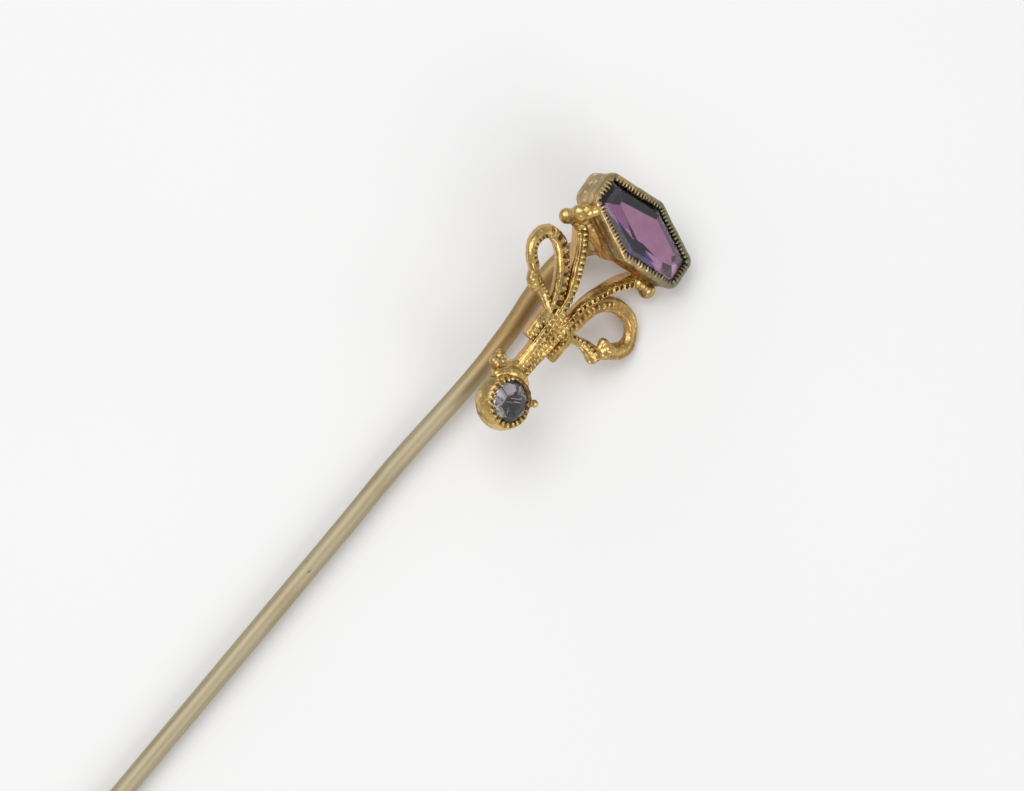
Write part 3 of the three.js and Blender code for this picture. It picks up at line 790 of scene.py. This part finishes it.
# ---- Lumps: balls, solder and worn tips, as one rounded mass ----
def lump(name, blobs, replaced, size=0.045, soften=6, rough=0.02, brown=0.1, dirt_and_shade=0.5):
    """Fuses balls (centre, radius) into one body, softens its creases, and roughens it a little."""
    work = bmesh.new()
    for centre, radius in blobs:
        made = bmesh.ops.create_icosphere(work, subdivisions=3, radius=radius)
        bmesh.ops.translate(work, verts=made["verts"], vec=Vector(centre))
    mesh = bpy.data.meshes.new(name + "_rough")
    work.to_mesh(mesh)
    work.free()
    rough_piece = bpy.data.objects.new(name + "_rough", mesh)
    bpy.context.scene.collection.objects.link(rough_piece)
    fuse = rough_piece.modifiers.new("fuse", "REMESH")
    fuse.mode = "VOXEL"
    fuse.voxel_size = size
    fuse.use_smooth_shade = True
    smooth = rough_piece.modifiers.new("soften", "SMOOTH")
    smooth.factor = 0.5
    smooth.iterations = soften
    evaluated = rough_piece.evaluated_get(bpy.context.evaluated_depsgraph_get())
    result = evaluated.to_mesh()
    points = np.array([v.co for v in result.vertices])
    faces = [tuple(f.vertices) for f in result.polygons]
    evaluated.to_mesh_clear()
    bpy.data.objects.remove(rough_piece)
    points = wobble(points, 0.35, rough)
    centres = np.array([c for c, _ in blobs])
    radii = np.array([r for _, r in blobs])
    away = np.linalg.norm(points[:, None] - centres[None], axis=2) - radii[None]
    nearest = np.sort(away, axis=1)
    # Darker in the creases where the balls meet: dirt and painted shade.
    crease = np.zeros(len(points))
    if len(blobs) > 1:
        crease = smoothstep(0.1, 0.0, nearest[:, 1] - nearest[:, 0])
    return make_piece(name, points, faces, replaced, "gilt_scrollwork", GILT, cavity=dirt_and_shade * crease,
                      patina=np.full(len(points), brown))


def build_lumps():
    left, right = LEFT_BEAD, RIGHT_BEAD
    lump("fine_left_shoulder", [
        (left, 0.47), (left + (0.1, -0.28, 0.3), 0.42), (left + (0.08, -0.62, 0.6), 0.52),
        (left + (0.2, -0.88, 0.96), 0.47), (left + (0.4, -1.0, 1.3), 0.36),
        (left + (0.55, 0.0, 0.2), 0.4), (left + (0.95, 0.1, 0.2), 0.42),
        (left + (1.25, 0.1, 0.2), 0.4), (left + (0.6, -0.5, 0.6), 0.4)],
        ["left_shoulder_bead", "left_shoulder_grain"], soften=22, dirt_and_shade=0.25)
    lump("fine_right_shoulder", [
        (right + (-0.12, 0, 0.05), 0.5), (right + (-0.6, 0.02, 0.02), 0.36),
        (right + (-0.9, 0.05, -0.02), 0.38), (right + (-1.2, 0.05, -0.08), 0.36),
        (right + (-0.25, 0.1, 0.4), 0.36)],
        ["right_shoulder_bead"], soften=12)
    lump("fine_stem_solder", [
        ((0, 4.55, 9.98), 0.56), ((0.42, 4.3, 9.92), 0.48), ((-0.45, 4.3, 9.9), 0.52),
        ((0, 4.2, 9.7), 0.48), ((-0.8, 4.25, 9.98), 0.54), ((-1.15, 4.2, 10.0), 0.54),
        ((-1.5, 4.15, 10.02), 0.54), ((-1.85, 4.1, 10.04), 0.52), ((-2.2, 4.05, 10.06), 0.5),
        ((-0.1, 5.0, 9.66), 0.56)],
        ["stem_solder"], soften=60, brown=0.9, dirt_and_shade=0.1)

    def grow(blobs, side, root, lean):
        """Blobs given as (out, aside, radius) along a sprig that leaves the cup at that angle."""
        c, n = math.cos(lean), math.sin(lean)
        placed = []
        for out, aside, radius in blobs:
            x, y = root[0] + out * c - aside * n, root[1] + out * n + aside * c
            placed.append((apply(CUP_FRAME, (side * x, y, SPRIG_DEPTH)), radius))
        return placed

    fork = grow([(-0.15, 0, 0.44), (0.1, 0, 0.38), (0.35, 0, 0.36), (0.55, 0.12, 0.35),
                 (0.78, 0.22, 0.34), (0.55, -0.16, 0.33), (0.72, -0.26, 0.31), (0.95, 0.26, 0.27)],
                -1, (1.04, 1.3), math.radians(28))
    point = grow([(1.3, 0, 0.44), (1.6, 0, 0.38), (1.85, 0, 0.31), (2.05, 0, 0.24), (2.2, 0, 0.19)],
                 1, (0, 0), SPRIG_LEAN)
    bead = grow([(SPRIG_BEAD_OUT - 0.1, 0, 0.23)], 1, (0, 0), SPRIG_LEAN)
    lump("fine_left_sprig", fork, ["left_sprig"], size=0.035, soften=8)
    lump("fine_right_sprig", point, ["right_sprig"], size=0.035, soften=8)
    lump("fine_right_sprig_bead", bead, ["right_sprig_bead"], size=0.03, soften=3, rough=0.012)

    def on_sheet(x, z, out, radius):
        """A ball that stands out that far from the face of the scrollwork."""
        return (np.array((x, sheet_y(x, z) - out, z)), radius)

    lump("fine_left_knot", [
        on_sheet(-3.66, 6.2, 0.02, 0.32), on_sheet(-3.56, 5.96, 0.1, 0.33),
        on_sheet(-3.42, 5.74, 0.14, 0.34), on_sheet(-3.14, 5.62, 0.14, 0.36),
        on_sheet(-2.86, 5.56, 0.1, 0.34), on_sheet(-3.1, 5.9, 0.04, 0.32),
        on_sheet(-2.84, 5.86, 0.0, 0.26)], ["left_loop"], soften=16, dirt_and_shade=0.3)
    lump("fine_right_knot", [
        on_sheet(3.0, 6.06, 0.1, 0.34), on_sheet(3.26, 6.06, 0.12, 0.35),
        on_sheet(3.54, 6.1, 0.1, 0.34), on_sheet(3.1, 5.76, 0.04, 0.34),
        on_sheet(3.32, 5.58, 0.0, 0.32), on_sheet(3.54, 5.72, 0.0, 0.3),
        on_sheet(3.8, 6.18, 0.05, 0.32)], ["right_loop"], soften=16, dirt_and_shade=0.35)


# ---- Scrollwork ----
def left_arm_relief(run, across):
    return total(bead_row(run, across, -0.19, 0.14, 0.31, 1), rail(across, 0.02, 0.09, 0.07),
                 rail(across, 0.22, 0.1, 0.08))


def right_arm_relief(run, across):
    return total(pit_row(run, across, -0.07, 0.13, 0.37, 2), rail(across, 0.16, 0.09, 0.14))


def left_loop_relief(run, across):
    inner = total(pit_row(run, across, -0.16, 0.14, 0.5, 3), rail(across, 0.2, 0.2, 0.05),
                  bead_row(run, across, -0.36, 0.09, 0.25, 6, sink=0.02))
    outer = total(bead_row(run, across, 0.17, 0.1, 0.29, 5, sink=0.03),
                  rail(across, -0.1, 0.2, 0.08))
    fade = smoothstep(6.0, 5.0, run)
    return total(fading(inner, fade), fading(outer, 1 - fade))


def right_loop_relief(run, across):
    beads = total(bead_row(run, across, 0.1, 0.13, 0.34, 4, sink=0.04),
                  rail(across, -0.24, 0.16, 0.07))
    fade = smoothstep(4.6, 3.6, run)
    # The hollow is darker: dirt and painted shade.
    hollow = np.exp(-((across - 0.16) / 0.14) ** 2)
    smooth = (rail(across, -0.1, 0.26, 0.12)[0] - 0.05 * hollow, 0.25 * hollow)
    return total(fading(beads, fade), fading(smooth, 1 - fade))


def leaf_relief(edge):
    """A leaf with a beaded edge and a hollowed face, darker in the hollow with dirt and painted
    shade.
    """
    def relief(run, across):
        hollow = np.exp(-((across + 0.12 * edge) / 0.16) ** 2)
        beads = bead_row(run, across, 0.2 * edge, 0.1, 0.28, 8, sink=0.02)
        return total(beads, (-0.07 * hollow, 0.35 * hollow))
    return relief


def trunk_relief(seed):
    def relief(run, across):
        worn = 0.35 + 0.65 * hash01(np.round(run / 0.7), seed)
        pitch = 0.27 + 0.03 * (seed % 3)
        height, dirt_and_shade = bead_row(run, across, 0.0, 0.12, pitch, 20 + seed, sink=0.03)
        return height * worn, 0.85 * dirt_and_shade * worn
    return relief


# The two sides were bent by hand and differ: each has its own lines, in X and Z.
SIDES = {
    "left": {
        "arm": [(-0.22, 4.2), (-0.28, 4.9), (-0.37, 5.62), (-0.5, 6.49), (-0.7, 7.01),
                (-0.92, 7.52), (-1.17, 7.97), (-1.45, 8.49), (-1.76, 8.98), (-2.2, 9.5),
                (-2.4, 9.72)],
        "arm_half": tween((0, 0.2), (0.35, 0.29), (0.65, 0.38), (1, 0.42)),
        "arm_relief": left_arm_relief,
        "arm_deeper": 0.62,
        "loop": [(-0.7, 4.4), (-0.8, 5.0), (-0.94, 5.6), (-1.1, 6.05), (-1.34, 6.5), (-1.64, 7.0),
                 (-2.06, 7.5), (-2.62, 7.98), (-3.2, 8.27), (-3.85, 8.3), (-4.25, 8.05),
                 (-4.48, 7.62), (-4.52, 7.15), (-4.33, 6.75), (-4.02, 6.46), (-3.72, 6.3),
                 (-3.5, 6.1)],
        "loop_half": tween((0, 0.24), (0.15, 0.36), (0.32, 0.47), (0.55, 0.45), (0.7, 0.32),
                           (1, 0.34)),
        "loop_relief": left_loop_relief,
        "loop_brown": 0.1,
        "upper_leaf": [(-1.0, 5.2), (-1.42, 5.42), (-1.9, 5.62), (-2.5, 5.74), (-3.05, 5.74),
                       (-3.4, 5.66)],
        "leaf_half": tween((0, 0.26), (0.5, 0.34), (0.8, 0.43), (1, 0.45)),
        "lower_leaf": [(-1.1, 5.4), (-1.13, 4.95), (-1.11, 4.4), (-1.07, 3.9), (-1.0, 3.28)],
    },
    "right": {
        "arm": [(0.2, 4.2), (0.28, 4.9), (0.36, 5.62), (0.5, 6.49), (0.68, 7.05), (1.02, 7.76),
                (1.38, 8.43), (1.78, 9.05), (2.26, 9.6), (2.42, 9.78)],
        "arm_half": tween((0, 0.2), (0.4, 0.26), (1, 0.32)),
        "arm_relief": right_arm_relief,
        "arm_deeper": 0.4,
        "loop": [(0.66, 4.4), (0.78, 5.0), (0.95, 5.6), (1.02, 6.05), (1.12, 6.5), (1.28, 7.0),
                 (1.48, 7.36), (1.8, 7.7), (2.22, 7.95), (2.6, 8.08), (3.0, 8.13), (3.42, 8.12),
                 (3.8, 8.0), (4.13, 7.72), (4.38, 7.32), (4.4, 6.9), (4.16, 6.45), (3.76, 6.12),
                 (3.34, 5.92), (3.04, 5.9)],
        "loop_half": tween((0, 0.2), (0.15, 0.32), (0.5, 0.41), (0.62, 0.44), (0.75, 0.42),
                           (1, 0.4)),
        "loop_relief": right_loop_relief,
        "loop_brown": 0.5,
        "upper_leaf": [(0.95, 4.85), (1.38, 5.02), (1.88, 5.16), (2.37, 5.24), (2.85, 5.2),
                       (3.3, 5.06)],
        "leaf_half": tween((0, 0.24), (0.45, 0.28), (0.75, 0.44), (1, 0.56)),
        "lower_leaf": [(0.95, 5.3), (1.06, 4.95), (1.08, 4.5), (1.03, 4.0), (0.96, 3.25)],
    },
}
ARM_SWELL = (6.3, 9.3)       # heights between which an arm grows deeper


def build_scroll_side(word):
    side = SIDES[word]
    edge = -1 if word == "left" else 1
    band(f"fine_{word}_arm", side["arm"], side["arm_half"], side["arm_relief"],
         [f"{word}_inner_arm", f"{word}_inner_beading"], steps=230, shift_y=-0.05,
         deeper_at=lambda z: side["arm_deeper"] * smoothstep(*ARM_SWELL, z))
    band(f"fine_{word}_loop", side["loop"], side["loop_half"], side["loop_relief"],
         [f"{word}_loop", f"{word}_loop_beading"], steps=420, brown=side["loop_brown"])
    band(f"fine_{word}_upper_leaf", side["upper_leaf"], side["leaf_half"],
         leaf_relief(edge), [f"{word}_upper_leaf"], steps=110, thick=0.7, brown=0.2)
    band(f"fine_{word}_lower_leaf", side["lower_leaf"], tween((0, 0.24), (0.6, 0.32), (1, 0.38)),
         leaf_relief(-edge), [f"{word}_lower_leaf"], steps=90,
         deeper_at=lambda z: 0.14 + 0 * z, shift_y=-0.03)


TRUNK_HEIGHTS = (1.25, 2.0, 2.8, 3.6, 4.4, 5.0, 5.7)
TRUNK_WIRES = 4


def trunk_face(run, across):
    return bead_row(run, across, 0.0, 0.1, 0.27, 30, sink=0.01)


def smooth_strip(run, across):
    """Plain below, where the shoulder is soldered on, and beaded above."""
    beaded = smoothstep(1.7, 2.5, run)
    plain = rail(across, 0.0, 0.14, 0.02)
    return total(fading(plain, 1 - beaded), fading(trunk_relief(5)(run, across), beaded))


def build_trunk():
    """The plate, which widens upwards, and the wires laid side by side on it."""
    def half_at(z):
        return 0.6 + 0.24 * np.clip((z - 2.6) / 2.9, 0, 1)

    low, high = TRUNK_HEIGHTS[0], TRUNK_HEIGHTS[-1]
    band("fine_trunk", [(0.0, z) for z in TRUNK_HEIGHTS], lambda t: half_at(low + (high - low) * t),
         trunk_face, ["trunk"], steps=120, square=0.35)
    for i in range(TRUNK_WIRES):
        offset = 2 * (i + 0.62) / (TRUNK_WIRES + 0.24) - 1
        line = [(offset * 0.92 * half_at(z), z) for z in (1.45, 2.2, 3.0, 3.9, 4.8, 5.75)]
        band(f"fine_trunk_wire_{i + 1}", line, tween((0, 0.15), (1, 0.17)),
             smooth_strip if i == 0 else trunk_relief(i),
             [f"trunk_wire_{i + 1}"], steps=180, around=32, thick=0.3, square=0.9, shift_y=-0.26)


def build_cup_shoulder():
    """Smooth saddle on the cup's upper left, where the trunk and the left sprig are soldered."""
    turns = np.radians(np.linspace(76, 150, 17))
    blobs = []
    for i, turn in enumerate(turns):
        fall = abs(i - 7) / 9
        for depth in (-0.34, -0.62):
            place_at = (1.64 * math.cos(turn), 1.64 * math.sin(turn), depth - 0.2 * fall)
            blobs.append((apply(CUP_FRAME, place_at), 0.37 - 0.08 * fall))
    foot = ((-0.45, 1.8, 0.34), (-0.66, 1.55, 0.34), (-0.85, 1.3, 0.32), (0.1, 1.6, 0.36))
    for x, z, radius in foot:
        blobs.append((np.array((x, sheet_y(x, z) - 0.05, z)), radius))
    lump("fine_cup_shoulder", blobs, ["cup_shoulder"],
         size=0.05, soften=24, rough=0.012, brown=0.0, dirt_and_shade=0.05)


# ---- The wire ----
# The bent upper part, as (Y, Z) places in the middle plane; below it the wire is straight.
WIRE_LINE = [(1.92, -15.7), (2.72, -11.5), (3.63, -7.2), (4.22, -2.2), (4.62, 0.2), (5.0, 1.65),
             (5.5, 3.3), (6.2, 4.95), (6.7, 6.4), (6.84, 7.5), (6.6, 8.5), (5.98, 9.24),
             (5.08, 9.66)]


def build_wire():
    bend, ways, _ = spline(WIRE_LINE, 150)
    down = -(np.array(WIRE_LINE[1]) - np.array(WIRE_LINE[0]))
    down /= np.linalg.norm(down)
    distance = np.concatenate((WIRE_STRAIGHT - np.array((0, 0.03, 0.1, 0.25, 0.5, 1.0, 2.0)),
                               np.linspace(WIRE_STRAIGHT - 4, 1.0, 75)))
    centres = np.vstack((np.array(WIRE_LINE[0]) + distance[:, None] * down, bend))
    ways = np.vstack((np.repeat(-down[None], len(distance), 0), ways))
    left = np.append(WIRE_STRAIGHT - distance, np.full(len(bend), WIRE_STRAIGHT))
    radius = WIRE_RADIUS * np.clip(left / POINT_TAPER, 0, 1) ** 0.6
    radius = np.clip(radius, 0.03, WIRE_RADIUS)
    radius[-6:] *= np.array((1, 0.98, 0.93, 0.85, 0.7, 0.4))
    sides = 40
    turn = np.arange(sides) * 2 * math.pi / sides
    x = radius[:, None] * np.cos(turn)
    up = radius[:, None] * np.sin(turn)
    y = centres[:, 0, None] + ways[:, 1, None] * up
    z = centres[:, 1, None] - ways[:, 0, None] * up
    points = wobble(np.stack((x, y, z), axis=2), 6.0, 0.03)
    gilding = smoothstep(-5.0, 4.0, centres[:, 1])[:, None] + 0 * x
    skin("fine_stem", points, ["pin_stem"], "stem_wire", WIRE, patina=gilding)


build_large_setting()
build_small_setting()
build_cup_shoulder()
build_trunk()
build_scroll_side("left")
build_scroll_side("right")
build_lumps()
build_wire()


# ---- Floor, light and camera ----
VIEW_TURN = math.radians(31.8)       # the camera stands this far round to the finial's left
VIEW_ROLL = math.radians(45.57)      # and is rolled so that the pin crosses the picture
FIELD_WIDE = 56.26                   # millimetres across the picture at the finial
CAMERA_AWAY = 400.0
PICTURE_CENTRE = (-0.14, 0.445)      # across and up the finial, as the camera sees it


def add_floor():
    size = 1.2
    work = bmesh.new()
    bmesh.ops.create_grid(work, x_segments=24, y_segments=24, size=size)
    mesh = bpy.data.meshes.new("floor")
    work.to_mesh(mesh)
    work.free()
    s = Shader("pale_paper")
    cloud = s.ramp(s.grain(60, 2), 0.3, 0.7)
    s.link(s.mix(cloud, (0.86, 0.86, 0.86), (0.84, 0.84, 0.84)), "Base Color")
    s.set(Roughness=0.9)
    mesh.materials.append(s.material)
    floor = bpy.data.objects.new("floor", mesh)
    bpy.context.scene.collection.objects.link(floor)


def add_light(name, toward, away, size, power):
    light = bpy.data.lights.new(name, "AREA")
    light.shape = "SQUARE"
    light.size = size
    light.energy = power
    holder = bpy.data.objects.new(name, light)
    direction = Vector(toward).normalized()
    holder.location = direction * away
    holder.rotation_mode = "QUATERNION"
    holder.rotation_quaternion = direction.to_track_quat("Z", "Y")
    bpy.context.scene.collection.objects.link(holder)


def add_world(level):
    world = bpy.data.worlds.new("studio")
    world.use_nodes = True
    world.node_tree.nodes["Background"].inputs["Color"].default_value = (1, 1, 1, 1)
    world.node_tree.nodes["Background"].inputs["Strength"].default_value = level
    bpy.context.scene.world = world


def add_camera():
    turn, roll = VIEW_TURN, VIEW_ROLL
    across = np.array((math.cos(turn), -math.sin(turn), 0))
    upward = np.array((0, 0, 1.0))
    back = np.array((-math.sin(turn), -math.cos(turn), 0))
    right = math.cos(roll) * across + math.sin(roll) * upward
    top = -math.sin(roll) * across + math.cos(roll) * upward
    target = PICTURE_CENTRE[0] * across + PICTURE_CENTRE[1] * upward
    spin = TO_ROW[:3, :3]
    data = bpy.data.cameras.new("camera")
    data.sensor_width = 36
    data.lens = 36 * CAMERA_AWAY / FIELD_WIDE
    data.clip_start, data.clip_end = 0.01, 10
    camera = bpy.data.objects.new("camera", data)
    axes = Matrix(np.array((spin @ right, spin @ top, spin @ back)).T.tolist())
    camera.rotation_mode = "QUATERNION"
    camera.rotation_quaternion = axes.to_quaternion()
    camera.location = Vector(place(target + back * CAMERA_AWAY))
    bpy.context.scene.collection.objects.link(camera)
    bpy.context.scene.camera = camera


add_floor()
add_light("softbox", (0.1, 0.38, 0.92), 0.6, 0.55, 1.7)
add_light("fill", (-0.1, -0.75, 0.6), 0.8, 0.45, 1.7)
add_world(0.59)
add_camera()
bpy.context.scene.view_settings.view_transform = "Standard"
